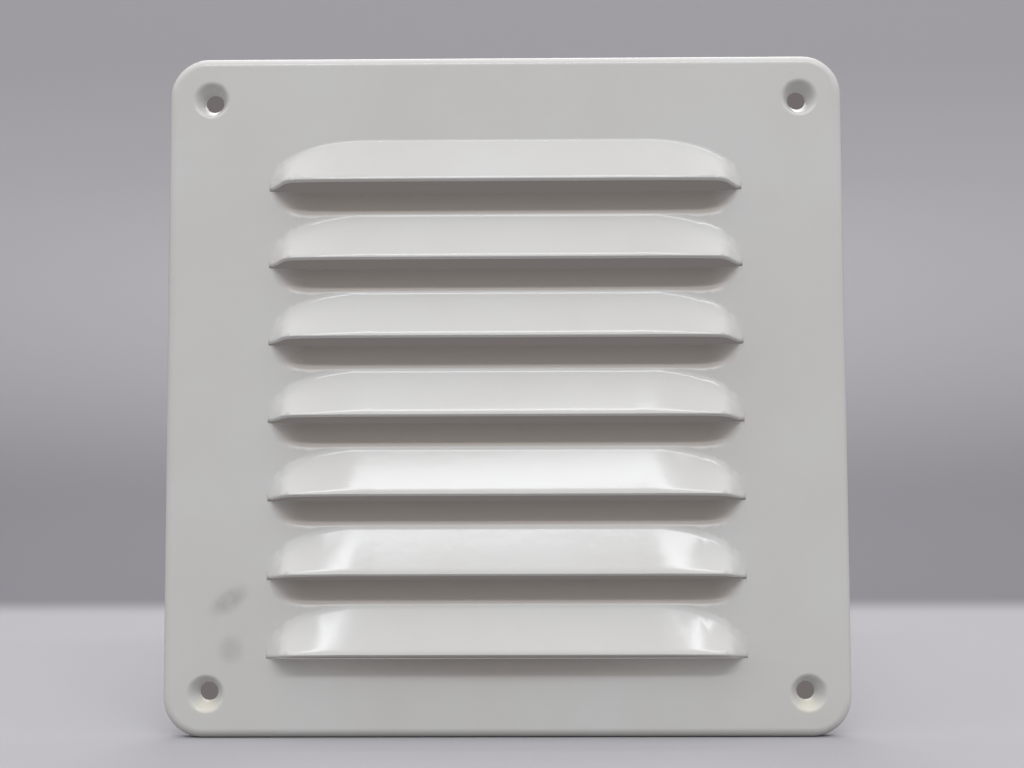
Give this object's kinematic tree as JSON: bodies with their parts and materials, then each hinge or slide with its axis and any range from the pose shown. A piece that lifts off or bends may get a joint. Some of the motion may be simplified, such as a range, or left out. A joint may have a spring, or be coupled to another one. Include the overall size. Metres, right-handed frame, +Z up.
{
  "type": "ventilation grille",
  "caption": "Square pressed sheet-metal ventilation grille with a column of hooded louvres, turned-back edges and dimpled screw holes in its corners.",
  "frame": {"origin": "centre of the screw-hole pattern on the wall plane, which the back of the rim and of the screw dimples lie on", "axes": "+Z up as the grille is fixed to a wall, with the louvres' mouths facing down; -Y out of the wall towards the viewer; +X to the viewer's right"},
  "size_m": [0.155, 0.0088, 0.155],
  "materials": {
    "white_enamel": "glossy white stoved enamel on aluminium sheet"
  },
  "bodies": {
    "root": {"grille_plate": "white_enamel"}
  },
  "joints": []
}
